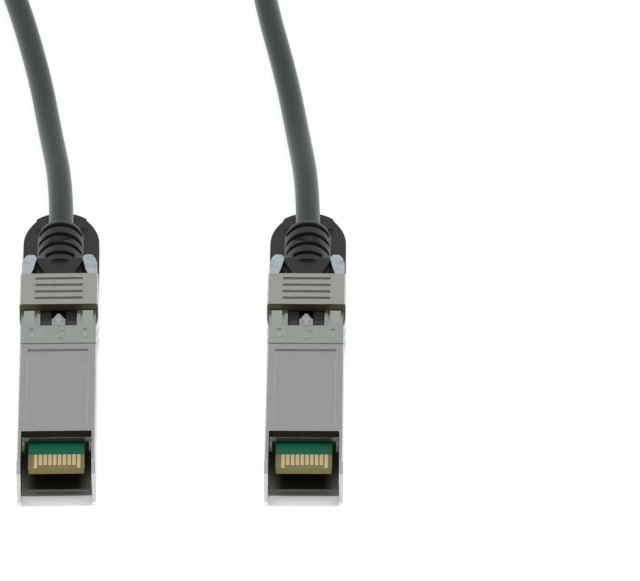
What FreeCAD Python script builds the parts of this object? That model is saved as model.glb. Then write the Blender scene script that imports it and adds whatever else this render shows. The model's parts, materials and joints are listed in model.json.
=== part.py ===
import FreeCAD, Part
import math
import os
import re
import Sketcher

# A direct attach copper cable: two identical die-cast pluggable connectors joined by one
# round cable. Both plugs lie on their label side, latch side up, connector ends towards -Y.
# The frame's origin is on the floor, midway between the plugs. Each plug is modelled in its
# own axes (X across, Y from its connector end towards the cable, Z up) and then placed.

doc = FreeCAD.newDocument("direct_attach_cable")
sheet = doc.addObject("Spreadsheet::Sheet", "dims")

SIZES = [
    # where the two plugs lie
    ("plug_spacing", 43.4), ("yaw_a", 1.13), ("yaw_b", -0.51), ("plug_length", 86.5),
    # die-cast housing: the part that enters the cage, and the wider nosepiece outside it
    ("body_width", 13.4), ("body_height", 8.5), ("body_lift", 0.25), ("opening", 10.4),
    ("stop", 47.3), ("nose_overhang", 0.2), ("nose_rise", 1.05), ("nose_draft", 0.2), ("nose_length", 9.6),
    ("parting", 4.9), ("lid_wall", 1.25), ("side_wall", 0.65), ("floor_wall", 0.85),
    ("edge_round", 0.35),
    # mouth: lead-in lip, side bevels, groove across the floor, leaning lid edge and its rib
    ("lip_length", 1.9), ("lip_height", 0.65), ("bevel_length", 1.9), ("bevel_height", 1.6),
    ("floor_groove", 3.15), ("floor_groove_width", 0.65), ("floor_groove_depth", 0.3),
    ("rib_drop", 0.75), ("rib_length", 1.2), ("lid_lean", 0.42), ("leg_width", 0.45), ("leg_drop", 2.9),
    # shallow label recess
    ("label_width", 10.6), ("label_front", 12.4), ("label_rear", 35.0), ("label_depth", 0.25),
    # shielding collar and its recess, fingers and seam
    ("recess_front", 36.5), ("relief_depth", 0.3), ("collar_front", 36.95), ("collar_rear", 42.3),
    ("collar_recess", 0.2), ("sheet_metal", 0.15),
    ("finger_width", 1.85), ("finger_place", 5.15), ("finger_bend", 1.1), ("finger_length", 4.55),
    ("top_rise", 0.5), ("side_rise", 0.3), ("base_rise", 0.15), ("side_pitch", 2.3),
    ("base_pitch", 2.9), ("seam_gap", 0.18), ("hook_width", 1.05), ("hook_front", 1.4),
    ("hook_rear", 1.7), ("window_place", 4.7), ("window_width", 0.8), ("window_front", 1.45),
    ("window_length", 3.0), ("stud_rise", 0.12),
    # latch cavity, post and the cast ribs beside it
    ("cavity_width", 6.4), ("post_width", 2.4), ("post_straight", 1.8), ("post_length", 3.0),
    ("post_rise", 0.36), ("kite_width", 1.5), ("cast_rib_width", 0.65), ("cast_rib_length", 3.8),
    # grooves moulded across the nosepiece
    ("grip_width", 8.4), ("grip_groove", 0.85), ("grip_depth", 0.6), ("grip_pitch", 2.03),
    ("grip_first", 1.97),
    # ears at the housing's rear corners
    ("ear_outer", 6.65), ("ear_inner", 5.2), ("ear_length", 7.7), ("ear_floor", 2.2),
    ("ear_hook_floor", 7.5), ("ear_tip_drop", 1.2), ("ear_hook", 4.1), ("ear_shoulder", 4.5),
    ("ear_tip_outer", 5.6), ("ear_tip_inner", 4.7),
    # release slider: tines, bridge, cheeks and handle
    ("tine_width", 1.8), ("tine_front", 42.5), ("slider_top", 8.35), ("slider_thickness", 0.95),
    ("slider_gap", 0.1), ("travel", 2.0), ("bridge_front", 50.4), ("bridge_length", 2.0),
    ("cheek_inner", 4.35), ("cheek_thickness", 0.7), ("cheek_low_top", 7.3),
    ("cheek_rear", 66.0), ("handle_inset", 0.08), ("handle_front", 58.0),
    ("handle_floor", 0.15), ("handle_top", 1.75), ("handle_rounding", 8.5),
    ("handle_straight", "=plug_length - handle_rounding"), ("handle_corner_width", 9.2),
    ("handle_corner_setback", 1.0), ("handle_corner_reach", "=plug_length - handle_corner_setback"),
    ("handle_side_radius", 13.1), ("thumb_lip_top", 2.9), ("thumb_lip_width", 9.1),
    ("thumb_lip_setback", 3.5), ("thumb_lip_front", "=plug_length - thumb_lip_setback"),
    ("thumb_lip_ramp", 1.6), ("thumb_lip_radius", 6.0), ("thumb_lip_drop", 2.1),
    ("cable_sag", 0.25), ("ramp_length", 1.6), ("ramp_height", 0.6), ("trough_gap", 0.25),
    # return spring
    ("spring_radius", 0.55), ("spring_wire", 0.1), ("spring_turns", 5), ("spring_rear", 56.2),
    # strain relief boot
    ("axis_height", 4.9), ("boot_radius", 4.15), ("boot_round", 1.9), ("boot_end", 76.4),
    ("boot_neck", 62.7), ("boot_first_groove", 64.75), ("boot_pitch", 2.92),
    ("boot_groove_width", 1.2), ("boot_groove_depth", 0.85), ("boot_groove_angle", 136),
    ("boot_short_angle", 78), ("boot_base_top", 8.6), ("boot_base_floor", 2.1),
    ("boot_step_top", 8.0), ("boot_step_inset", 0.15), ("boot_step_front", 57.3),
    ("boot_waist", 2.75), ("boot_waist_end", 59.1), ("boot_hip", 4.1), ("boot_hip_start", 62.6),
    ("flange_front", 54.5), ("flange_width", 6.6), ("flange_top", 6.9), ("flange_floor", 2.2),
    # cable, ferrule and inner conductors
    ("cable_radius", 2.2), ("jacket_front", 46.2), ("ferrule_radius", 2.55),
    ("ferrule_front", 47.5), ("ferrule_length", 2.8), ("fit_gap", 0.02), ("core_radius", 0.45),
    ("core_spread", 1.5), ("core_pitch", 1.0), ("core_bundle", 0.6),
    ("core_solder", 3.0), ("core_straight", 5.0),
    # circuit card and what is on it
    ("card_front", 2.6), ("card_width", 9.65), ("card_length", 24.0), ("card_thickness", 1.0),
    ("card_depth", 2.5), ("card_corner", 0.15), ("pad_pitch", 0.82), ("pad_shift", 0.15), ("pad_width", 0.56),
    ("pad_rear", 4.2), ("pad_setback", 1.1), ("outer_pad_setback", 0.28),
    ("pad_thickness", 0.05), ("chip_size", 3.0), ("chip_height", 0.85), ("chip_place", 15.0),
    ("lead_width", 0.3), ("lead_length", 0.7), ("lead_pitch", 0.65), ("lead_height", 0.25),
    ("capacitor_width", 0.5), ("capacitor_length", 1.0), ("capacitor_place", 12.6),
    ("ledge_start", 13.0), ("ledge_length", 13.0), ("ledge_bite", 0.3),
    # shell screws
    ("screw_place", 5.0), ("screw_setback", 1.7), ("screw_radius", 0.7),
    ("screw_head_radius", 1.25), ("screw_head_height", 0.6), ("screw_tip", 6.6),
    ("screw_sunk", 0.1), ("screw_slot", 0.3),
    # coil of spare cable
    ("coil_x", -19.6), ("coil_y", 178.0), ("coil_radius", 30.2), ("coil_turns", 4.5),
    ("coil_pitch", 4.6), ("coil_margin", 0.2), ("coil_entry", 190), ("cable_lift", 0.05),
]
for row, (alias, number) in enumerate(SIZES, start=1):
    sheet.set("A%d" % row, alias)
    sheet.set("B%d" % row, str(number))
    sheet.setAlias("B%d" % row, alias)
doc.recompute()

ALIASES = {alias for alias, number in SIZES}

# Heights and lengths that several pieces share, as formulas of the sheet's cells.
BODY_TOP = "(body_lift + body_height)"
NOSE_TOP = "(body_lift + body_height + nose_rise)"
NOSE_REAR = "(stop + nose_length)"
NOSE_SIDE = "(body_width / 2 + nose_overhang)"
LID_UNDER = "(body_lift + body_height - lid_wall)"
FLOOR_TOP = "(body_lift + floor_wall)"
INNER_SIDE = "(body_width / 2 - side_wall)"
CARD_TOP = "(body_lift + body_height - card_depth)"
CARD_UNDER = "(body_lift + body_height - card_depth - card_thickness)"
RECESS_TOP = "(body_lift + body_height - collar_recess)"
RECESS_BASE = "(body_lift + collar_recess)"
RECESS_SIDE = "(body_width / 2 - collar_recess)"
SLIDER_UNDER = "(slider_top - slider_thickness)"
SLOT_TOP = "(slider_top + slider_gap)"
SLOT_UNDER = "(slider_top - slider_thickness - slider_gap)"
CHEEK_OUTER = "(cheek_inner + cheek_thickness)"
TINE_INNER = "(post_width / 2 + (cavity_width / 2 - post_width / 2 - tine_width) / 2)"


def bind(text):
    """Turn a formula of plain aliases into one that reads the sheet."""
    return re.sub(r"[a-z_]+", lambda m: "dims." + m.group() if m.group() in ALIASES
                  else m.group(), str(text))


def value(text):
    """The present value of a formula."""
    return float(sheet.evalExpression(bind(text)))


def set_base(item, x, y, z):
    for letter, text in zip("xyz", (x, y, z)):
        item.setExpression("Placement.Base." + letter, bind(text))


def slab(x, y, z):
    """A box between two formulas along each axis."""
    item = doc.addObject("Part::Box", "slab")
    for size, (low, high) in zip(("Length", "Width", "Height"), (x, y, z)):
        item.setExpression(size, bind("(%s) - (%s)" % (high, low)))
    set_base(item, x[0], y[0], z[0])
    return item


def rod(x, z, y, radius):
    """A cylinder along Y."""
    item = doc.addObject("Part::Cylinder", "rod")
    item.Placement.Rotation = FreeCAD.Rotation(FreeCAD.Vector(1, 0, 0), -90)
    item.setExpression("Radius", bind(radius))
    item.setExpression("Height", bind("(%s) - (%s)" % (y[1], y[0])))
    set_base(item, x, y[0], z)
    return item


def post(x, y, z, radius):
    """A cylinder along Z."""
    item = doc.addObject("Part::Cylinder", "post")
    item.setExpression("Radius", bind(radius))
    item.setExpression("Height", bind("(%s) - (%s)" % (z[1], z[0])))
    set_base(item, x, y, z[0])
    return item


PLANES = {
    "XY": FreeCAD.Rotation(),
    "YZ": FreeCAD.Rotation(FreeCAD.Vector(0, 1, 0), FreeCAD.Vector(0, 0, 1),
                           FreeCAD.Vector(1, 0, 0), "XYZ"),
}


def draw(sketch, points):
    """Draw a closed outline whose corners are bound to the sheet.

    A point is (u, v) for a straight side that follows it, or (u, v, radius) for an arc that
    bulges outwards on the way round, which is anticlockwise."""
    corners = [(value(p[0]), value(p[1])) for p in points]
    count = len(points)
    for index, point in enumerate(points):
        start = FreeCAD.Vector(*corners[index], 0)
        end = FreeCAD.Vector(*corners[(index + 1) % count], 0)
        if len(point) == 2:
            sketch.addGeometry(Part.LineSegment(start, end), False)
            continue
        radius = value(point[2])
        chord = end - start
        inward = FreeCAD.Vector(-chord.y, chord.x, 0).normalize()
        centre = (start + end) * 0.5 + inward * math.sqrt(radius ** 2 - (chord.Length / 2) ** 2)
        angles = [math.atan2(p.y - centre.y, p.x - centre.x) for p in (start, end)]
        circle = Part.Circle(centre, FreeCAD.Vector(0, 0, 1), radius)
        sketch.addGeometry(Part.ArcOfCircle(circle, *angles), False)
    for index in range(count):
        sketch.addConstraint(Sketcher.Constraint("Coincident", index, 2, (index + 1) % count, 1))
    for index, point in enumerate(points):
        for kind, text, number in zip(("DistanceX", "DistanceY"), point, corners[index]):
            place = sketch.addConstraint(Sketcher.Constraint(kind, -1, 1, index, 1, number))
            sketch.setExpression("Constraints[%d]" % place, bind(text))
        if len(point) == 3:
            place = sketch.addConstraint(Sketcher.Constraint("Radius", index, value(point[2])))
            sketch.setExpression("Constraints[%d]" % place, bind(point[2]))


def prism(plane, points, span):
    """An outline drawn in XY or YZ, and pushed along Z or X through a span."""
    sketch = doc.addObject("Sketcher::SketchObject", "outline")
    draw(sketch, points)
    sketch.Placement = FreeCAD.Placement(FreeCAD.Vector(), PLANES[plane])
    axis = "z" if plane == "XY" else "x"
    sketch.setExpression("Placement.Base." + axis, bind(span[0]))
    item = doc.addObject("Part::Extrusion", "prism")
    item.Base = sketch
    item.DirMode = "Normal"
    item.Solid = True
    item.setExpression("LengthFwd", bind("(%s) - (%s)" % (span[1], span[0])))
    return item


def combine(kind, items):
    item = doc.addObject(kind, "set")
    item.Shapes = items
    return item


def join(items):
    return combine("Part::MultiFuse", items)


def overlap(items):
    return combine("Part::MultiCommon", items)


def minus(base, tools):
    item = doc.addObject("Part::Cut", "cut")
    item.Base = base
    item.Tool = join(tools) if len(tools) > 1 else tools[0]
    return item


def group(items):
    item = doc.addObject("Part::Compound", "group")
    item.Links = items
    return item


def round_long_edges(base, radius):
    """Round the four edges of a box that run along Y."""
    doc.recompute()
    item = doc.addObject("Part::Fillet", "rounded")
    item.Base = base
    item.Edges = [(number, value(radius), value(radius))
                  for number, edge in enumerate(base.Shape.Edges, start=1)
                  if abs(edge.tangentAt(edge.FirstParameter).y) > 0.9]
    return item


def both_sides(make):
    """The same piece on the plug's left and right: make(sign) builds one."""
    return [make("-1"), make("1")]


def sided(sign, inner, outer):
    """The X range from inner to outer on one side, low end first."""
    return ("-(%s)" % outer, "-(%s)" % inner) if sign == "-1" else (inner, outer)


NODES = {}


def plug_pose(end):
    """Where a plug lies: turned about its own middle, on its side of the origin."""
    side = -1 if end == "a" else 1
    middle = FreeCAD.Placement(FreeCAD.Vector(0, -value("plug_length / 2"), 0),
                               FreeCAD.Rotation())
    turned = FreeCAD.Rotation(FreeCAD.Vector(0, 0, 1), value("yaw_" + end))
    centre = FreeCAD.Vector(side * value("plug_spacing / 2"), 0, 0)
    return FreeCAD.Placement(centre, turned).multiply(middle)


def keep(name, end, item, offset=FreeCAD.Placement()):
    """Name a finished piece of a plug and put it where the plug lies."""
    item.Label = "%s_%s" % (name, end)
    item.Placement = plug_pose(end).multiply(offset)
    NODES[item.Label] = item


def body_block():
    """The outer block of the part that enters the cage."""
    block = slab(("-body_width / 2", "body_width / 2"), ("0", "stop"), ("body_lift", BODY_TOP))
    return round_long_edges(block, "edge_round")


def nose_block():
    block = slab(("-" + NOSE_SIDE, NOSE_SIDE), ("stop", NOSE_REAR), ("0", NOSE_TOP))
    return round_long_edges(block, "edge_round")


def ear(sign):
    """A rear corner ear: a straight cheek with a hook over the slider at its top."""
    straight = [slab(sided(sign, "ear_inner", "ear_outer"),
                     (start, NOSE_REAR + " + ear_shoulder"), (floor, "ear_hook_floor + 0.1"))
                for start, floor in ((NOSE_REAR, "ear_floor"), (NOSE_REAR + " - 0.5", "parting"))]
    reach = [("ear_outer", NOSE_REAR + " - 0.5"), ("ear_outer", NOSE_REAR + " + ear_shoulder"),
             ("ear_outer - 0.25", NOSE_REAR + " + ear_shoulder + 1.2", "ear_length / 2"),
             ("ear_tip_outer", NOSE_REAR + " + ear_length"),
             ("ear_tip_inner", NOSE_REAR + " + ear_length", "ear_length / 4"),
             ("ear_hook", NOSE_REAR + " + ear_length * 0.78"),
             ("(ear_hook + ear_inner) / 2", NOSE_REAR + " + ear_length * 0.25"),
             ("ear_inner", NOSE_REAR + " - 0.5")]
    if sign == "-1":
        reach = mirror(reach)
    hook = prism("XY", reach, ("ear_hook_floor", NOSE_TOP))
    slope = prism("YZ", [(NOSE_REAR + " - 0.4", NOSE_TOP + " - 0.1"),
                         (NOSE_REAR + " + ear_length + 0.1", NOSE_TOP + " - ear_tip_drop"),
                         (NOSE_REAR + " + ear_length + 0.1", NOSE_TOP + " + 1"),
                         (NOSE_REAR + " - 0.4", NOSE_TOP + " + 1")],
                  ("-body_width", "body_width"))
    return minus(join(straight + [hook]), [slope])


def mirror(points):
    """The outline on the plug's other side, still anticlockwise."""
    flipped = [("-(%s)" % p[0], p[1]) for p in points]
    radii = [p[2] if len(p) == 3 else None for p in points]
    flipped.reverse()
    radii = radii[-2::-1] + radii[-1:]
    return [p + (r,) if r else p for p, r in zip(flipped, radii)]


def latch_post():
    """The post that the cage's tongue snaps over: a pointed bar with a kite-shaped ramp."""
    rear = "collar_rear + post_length"
    bar = prism("XY", [("-post_width / 2", "collar_rear"), ("post_width / 2", "collar_rear"),
                       ("post_width / 2", "collar_rear + post_straight"),
                       ("0.3", rear), ("-0.3", rear),
                       ("-post_width / 2", "collar_rear + post_straight")],
                (LID_UNDER, BODY_TOP))
    kite = prism("XY", [("0", "collar_rear"), ("kite_width / 2", "collar_rear + post_straight"),
                        ("0.25", rear), ("-0.25", rear),
                        ("-kite_width / 2", "collar_rear + post_straight")],
                 (LID_UNDER, BODY_TOP + " + post_rise"))
    ramp = prism("YZ", [("collar_rear - 0.1", BODY_TOP), ("collar_rear + post_straight",
                                                         BODY_TOP + " + post_rise"),
                        ("collar_rear + post_straight", BODY_TOP + " + 1"),
                        ("collar_rear - 0.1", BODY_TOP + " + 1")],
                 ("-post_width", "post_width"))
    return join([bar, minus(kite, [ramp])])


def slider_slots(gap):
    """The space that the release slider needs in the nosepiece, over its whole travel."""
    reach = "bridge_front + bridge_length + travel + %s" % gap
    tines = slab(("-cavity_width / 2", "cavity_width / 2"),
                 ("stop - 1", "bridge_front"), (SLOT_UNDER, SLOT_TOP))
    bridge = slab(("-%s - %s" % (CHEEK_OUTER, gap), "%s + %s" % (CHEEK_OUTER, gap)),
                  ("bridge_front - %s" % gap, reach), (SLOT_UNDER, SLOT_TOP))
    cheeks = both_sides(lambda sign: slab(
        sided(sign, "cheek_inner - %s" % gap, "%s + %s" % (CHEEK_OUTER, gap)),
        ("bridge_front - %s" % gap, NOSE_REAR + " + 1"), ("parting", SLOT_TOP)))
    return [tines, bridge] + cheeks


def cable_bores():
    """The ferrule's seat, the jacket's passage and the pocket for the boot's flange."""
    seat = rod("0", "axis_height", ("stop - 0.5", "ferrule_front + ferrule_length + fit_gap"),
               "ferrule_radius + fit_gap")
    passage = rod("0", "axis_height", ("stop - 0.5", NOSE_REAR + " + 1"),
                  "cable_radius + fit_gap")
    pocket = slab(("-flange_width / 2 - fit_gap", "flange_width / 2 + fit_gap"),
                  ("flange_front - fit_gap", NOSE_REAR + " + 1"),
                  ("flange_floor - fit_gap", "flange_top + fit_gap"))
    neck = slab(("-boot_waist - fit_gap", "boot_waist + fit_gap"),
                (NOSE_REAR, NOSE_REAR + " + 1"), ("boot_base_floor", "boot_base_top"))
    return [seat, passage, pocket, neck]


def screw_holes(low, high, radius):
    return both_sides(lambda sign: post("%s * screw_place" % sign, "stop + screw_setback",
                                        (low, high), radius))


def latch_shell(end):
    """The upper die casting: lid, nosepiece with its grip grooves, latch post and ears."""
    lid = overlap([body_block(), slab(("-body_width", "body_width"), ("opening", "stop + 0.5"),
                                      (LID_UNDER, BODY_TOP + " + 1"))])
    step = slab(("-%s" % INNER_SIDE, INNER_SIDE), ("stop - 0.2", "stop + 0.5"),
                ("parting", BODY_TOP))
    nose = overlap([nose_block(), slab(("-body_width", "body_width"), ("stop", NOSE_REAR),
                                       ("parting", NOSE_TOP + " + 1"))])
    lean = "opening - lid_lean"
    mouth_rib = prism("YZ", [(lean, LID_UNDER), (lean, LID_UNDER + " - rib_drop"),
                             ("opening + rib_length", LID_UNDER + " - rib_drop"),
                             ("opening + rib_length", BODY_TOP), ("opening", BODY_TOP)],
                      ("-%s + 0.1" % INNER_SIDE, "%s - 0.1" % INNER_SIDE))
    legs = both_sides(lambda sign: slab(
        sided(sign, INNER_SIDE + " - 0.1 - leg_width", INNER_SIDE + " - 0.1"),
        (lean, "opening + rib_length"), (LID_UNDER + " - leg_drop", LID_UNDER + " + 0.1")))
    stays = both_sides(lambda sign: slab(
        sided(sign, "card_width / 2 - 0.8", "card_width / 2 - 0.1"),
        ("ledge_start + ledge_length / 2", "ledge_start + ledge_length / 2 + 2"),
        (CARD_TOP, LID_UNDER + " + 0.1")))
    label = slab(("-label_width / 2", "label_width / 2"), ("label_front", "label_rear"),
                 (BODY_TOP + " - label_depth", BODY_TOP + " + 1"))
    shoulder = both_sides(lambda sign: slab(
        sided(sign, "cavity_width / 2 + cast_rib_width", "body_width"),
        ("recess_front", "stop"), (RECESS_TOP, BODY_TOP + " + 1")))
    middle = slab(("-body_width / 2", "body_width / 2"), ("recess_front", "collar_rear"),
                  (RECESS_TOP, BODY_TOP + " + 1"))
    relief = slab(("-body_width / 2", "body_width / 2"), ("recess_front", "collar_front"),
                  (RECESS_TOP + " - relief_depth", BODY_TOP + " + 1"))
    draft = prism("YZ", [("stop - nose_draft", RECESS_TOP), ("stop + 0.1", RECESS_TOP),
                         ("stop + 0.1", NOSE_TOP), ("stop", NOSE_TOP)],
                  ("edge_round - " + NOSE_SIDE, NOSE_SIDE + " - edge_round"))
    rib_ends = slab(("-body_width / 2", "body_width / 2"),
                    ("collar_rear + cast_rib_length", "stop"), (RECESS_TOP, BODY_TOP + " + 1"))
    flanks = both_sides(lambda sign: slab(sided(sign, RECESS_SIDE, "body_width"),
                                          ("recess_front", "stop"), ("0", BODY_TOP + " + 1")))
    cavity = slab(("-cavity_width / 2", "cavity_width / 2"), ("collar_rear", "stop"),
                  (LID_UNDER + " - 1", BODY_TOP + " + 1"))
    spring_pocket = slab(("-spring_radius - 0.2", "spring_radius + 0.2"),
                         ("bridge_front", "spring_rear"),
                         ("slider_top - slider_thickness / 2 - spring_radius - 0.2",
                          "slider_top - slider_thickness / 2 + spring_radius + 0.2"))
    grips = [slab(("-grip_width / 2", "grip_width / 2"),
                  ("stop + grip_first + %d * grip_pitch - grip_groove / 2" % n,
                   "stop + grip_first + %d * grip_pitch + grip_groove / 2" % n),
                  (NOSE_TOP + " - grip_depth", NOSE_TOP + " + 1")) for n in range(4)]
    stud_front = "collar_front + window_front + window_width / 2"
    studs = both_sides(lambda sign: prism(
        "YZ", [(stud_front, RECESS_TOP + " - 0.1"),
               (stud_front + " + window_length / 2", RECESS_TOP + " - 0.1"),
               (stud_front + " + window_length / 2", RECESS_TOP),
               (stud_front, RECESS_TOP + " + stud_rise")],
        sided(sign, "window_place - window_width / 2 + 0.1",
              "window_place + window_width / 2 - 0.1")))
    casting = join([lid, step, nose, mouth_rib] + legs + stays + both_sides(ear))
    cuts = [label, middle, relief, rib_ends, cavity, spring_pocket] + shoulder + flanks + grips
    cuts += slider_slots("slider_gap") + cable_bores()
    cuts += screw_holes("0", "screw_tip + 0.3", "screw_radius + fit_gap")
    keep("latch_shell", end, join([minus(casting, cuts), draft, latch_post()] + studs))


def cover_shell(end):
    """The lower die casting: a channel open at the connector end, and the nosepiece's base."""
    above = slab(("-body_width", "body_width"), ("opening", "stop + 1"),
                 (LID_UNDER, BODY_TOP + " + 1"))
    hollow = slab(("-" + INNER_SIDE, INNER_SIDE), ("-1", "stop + 0.1"),
                  (FLOOR_TOP, BODY_TOP + " + 1"))
    lip = prism("YZ", [("-0.1", FLOOR_TOP + " - lip_height"), ("0", FLOOR_TOP + " - lip_height"),
                       ("lip_length", FLOOR_TOP), ("lip_length", FLOOR_TOP + " + 0.1"),
                       ("-0.1", FLOOR_TOP + " + 0.1")], ("-" + INNER_SIDE, INNER_SIDE))
    bevel = prism("YZ", [("-0.1", BODY_TOP + " - bevel_height"),
                         ("0", BODY_TOP + " - bevel_height"), ("bevel_length", BODY_TOP),
                         ("bevel_length", BODY_TOP + " + 0.1"), ("-0.1", BODY_TOP + " + 0.1")],
                  ("-body_width", "body_width"))
    groove = slab(("-" + INNER_SIDE, INNER_SIDE),
                  ("floor_groove", "floor_groove + floor_groove_width"),
                  (FLOOR_TOP + " - floor_groove_depth", FLOOR_TOP + " + 0.1"))
    flanks = both_sides(lambda sign: slab(sided(sign, RECESS_SIDE, "body_width"),
                                          ("recess_front", "stop"), ("0", BODY_TOP)))
    underside = slab(("-body_width", "body_width"), ("recess_front", "stop"), ("0", RECESS_BASE))
    channel = minus(body_block(), [above, hollow, lip, bevel, groove, underside] + flanks)
    ledges = both_sides(lambda sign: slab(
        sided(sign, "card_width / 2 - ledge_bite", INNER_SIDE + " + 0.1"),
        ("ledge_start", "ledge_start + ledge_length"), (FLOOR_TOP + " - 0.1", CARD_UNDER)))
    nose = overlap([nose_block(), slab(("-body_width", "body_width"), ("stop", NOSE_REAR),
                                       ("0", "parting"))])
    step = slab(("-" + INNER_SIDE, INNER_SIDE), ("stop - 0.2", "stop + 0.1"),
                (FLOOR_TOP + " - 0.1", "parting"))
    sinks = screw_holes("-1", "screw_head_height + screw_sunk", "screw_head_radius + fit_gap")
    cuts = cable_bores() + sinks
    cuts += screw_holes("0", "parting + 1", "screw_radius + fit_gap")
    keep("cover_shell", end, minus(join([channel, nose, step] + ledges), cuts))


def finger(rise):
    """One spring finger's section along Y and outwards, from its root on the band."""
    bend = "collar_rear + finger_bend"
    crest = "collar_rear + finger_length - 0.7"
    tip = "collar_rear + finger_length"
    return [("collar_rear - 0.3", "0"), (bend, "0"), (crest, rise), (tip, "0.1"),
            (tip, "0.1 + sheet_metal"), (crest, "%s + sheet_metal" % rise),
            (bend, "sheet_metal"), ("collar_rear - 0.3", "sheet_metal")]


def finger_row(rise, places, turn, reach):
    """Fingers side by side on one face: turned about Y, then pushed out to that face."""
    row = []
    for place in places:
        outward = [(u, "(%s) + (%s)" % (v, reach)) for u, v in finger(rise)]
        section = prism("YZ", outward, ("%s - finger_width / 2" % place,
                                        "%s + finger_width / 2" % place))
        row.append(section)
    turned = group(row)
    turned.Placement = FreeCAD.Placement(FreeCAD.Vector(0, 0, 0),
                                         FreeCAD.Rotation(FreeCAD.Vector(0, 1, 0), turn))
    return turned


def emi_collar(end):
    """The sheet-metal shielding collar: a band round the housing with bowed fingers."""
    outer = round_long_edges(slab(
        ("-%s - sheet_metal" % RECESS_SIDE, "%s + sheet_metal" % RECESS_SIDE),
        ("collar_front", "collar_rear"),
        (RECESS_BASE + " - sheet_metal", RECESS_TOP + " + sheet_metal")), "sheet_metal")
    inner = slab(("-" + RECESS_SIDE, RECESS_SIDE), ("collar_front - 1", "collar_rear + 1"),
                 (RECESS_BASE, RECESS_TOP))
    half = "seam_gap / 2"
    front = "collar_front + hook_front"
    rear = "collar_rear - hook_rear"
    high = (RECESS_TOP + " - 0.1", BODY_TOP)
    seam = [slab(("-" + half, half), ("collar_front - 1", front + " + " + half), high),
            slab(("-" + half, "hook_width + " + half), (front + " - " + half,
                                                        front + " + " + half), high),
            slab(("hook_width - " + half, "hook_width + " + half), (front, rear), high),
            slab(("-" + half, "hook_width + " + half), (rear + " - " + half,
                                                        rear + " + " + half), high),
            slab(("-" + half, half), (rear + " - " + half, "collar_rear + 1"), high)]
    window_y = ("collar_front + window_front + window_width / 2",
                "collar_front + window_front + window_length - window_width / 2")
    windows = []
    for sign in ("-1", "1"):
        centre = "%s * window_place" % sign
        windows.append(slab((centre + " - window_width / 2", centre + " + window_width / 2"),
                            window_y, high))
        windows += [post(centre, y, high, "window_width / 2") for y in window_y]
    side_places = ["-side_pitch", "0", "side_pitch"]
    base_places = ["-1.5 * base_pitch", "-base_pitch / 2", "base_pitch / 2", "1.5 * base_pitch"]
    middle = "(body_lift + body_height / 2)"
    up = [prism("YZ", [(u, "%s + %s" % (v, RECESS_TOP)) for u, v in finger("top_rise")],
                ("%s * finger_place - finger_width / 2" % sign,
                 "%s * finger_place + finger_width / 2" % sign)) for sign in ("-1", "1")]
    left = finger_row("side_rise", ["%s + %s" % (middle, p) for p in side_places], -90,
                      RECESS_SIDE)
    right = finger_row("side_rise", ["-%s + %s" % (middle, p) for p in side_places], 90,
                       RECESS_SIDE)
    down = finger_row("base_rise", base_places, 180, "-" + RECESS_BASE)
    keep("emi_collar", end, minus(join([minus(outer, [inner])] + up + [left, right, down]),
                                  seam + windows))


def card_parts(end):
    """The circuit card with its gold contact pads, memory chip and coupling capacitors."""
    rear = "card_front + card_length"
    half = "card_width / 2"
    card = prism("XY", [("-%s + card_corner" % half, "card_front"),
                        (half + " - card_corner", "card_front"),
                        (half, "card_front + card_corner"), (half, rear), ("-" + half, rear),
                        ("-" + half, "card_front + card_corner")], (CARD_UNDER, CARD_TOP))
    keep("paddle_card", end, group([card]))
    pads = []
    for number in range(10):
        setback = "outer_pad_setback" if number in (0, 9) else "pad_setback"
        centre = "pad_shift + %.1f * pad_pitch" % (number - 4.5)
        for face in ((CARD_TOP, CARD_TOP + " + pad_thickness"),
                     (CARD_UNDER + " - pad_thickness", CARD_UNDER)):
            pads.append(slab((centre + " - pad_width / 2", centre + " + pad_width / 2"),
                             ("card_front + " + setback, "card_front + pad_rear"), face))
    keep("contact_pads", end, group(pads))
    body = slab(("-chip_size / 2", "chip_size / 2"), ("chip_place", "chip_place + chip_size"),
                (CARD_TOP + " + 0.1", CARD_TOP + " + 0.1 + chip_height"))
    chip = [body]
    for number in range(4):
        y = "chip_place + chip_size / 2 + %.1f * lead_pitch" % (number - 1.5)
        chip += both_sides(lambda sign: slab(
            sided(sign, "chip_size / 2 - 0.1", "chip_size / 2 + lead_length"),
            (y + " - lead_width / 2", y + " + lead_width / 2"),
            (CARD_TOP, CARD_TOP + " + lead_height")))
    keep("memory_chip", end, join(chip))
    row = [slab(("%.1f * pad_pitch - capacitor_width / 2" % (n - 3.5),
                 "%.1f * pad_pitch + capacitor_width / 2" % (n - 3.5)),
                ("capacitor_place", "capacitor_place + capacitor_length"),
                (CARD_TOP, CARD_TOP + " + capacitor_width")) for n in range(8)]
    keep("coupling_capacitors", end, group(row))


def tangent_path(points):
    """Straight runs joined by arcs, each as large as its two runs allow; also the radii."""
    edges = []
    radii = []
    start = points[0]
    for before, corner, after in zip(points, points[1:], points[2:]):
        arrive = (corner - before).normalize()
        leave = (after - corner).normalize()
        shorter = min((corner - before).Length, (after - corner).Length)
        half_turn = arrive.getAngle(leave) / 2
        trim = 0.45 * shorter
        radii.append(trim / math.tan(half_turn))
        begin = corner - arrive * trim
        finish = corner + leave * trim
        to_middle = (leave - arrive).normalize()
        sag = radii[-1] * (1 / math.cos(half_turn) - 1)
        edges.append(Part.LineSegment(start, begin).toShape())
        edges.append(Part.Arc(begin, corner + to_middle * sag, finish).toShape())
        start = finish
    edges.append(Part.LineSegment(start, points[-1]).toShape())
    return Part.Wire(edges), radii


def tube_along(points, radius):
    """A round solid along the tangent path."""
    wire, radii = tangent_path(points)
    circle = Part.Circle(points[0], points[1] - points[0], radius)
    solid = wire.makePipeShell([Part.Wire(circle.toShape())], True, True)
    section = math.pi * radius ** 2 * wire.Length
    if abs(solid.Volume / section - 1) > 0.01:
        raise RuntimeError("a tube's volume differs from its section times its length")
    return solid, wire.Length, radii


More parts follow.
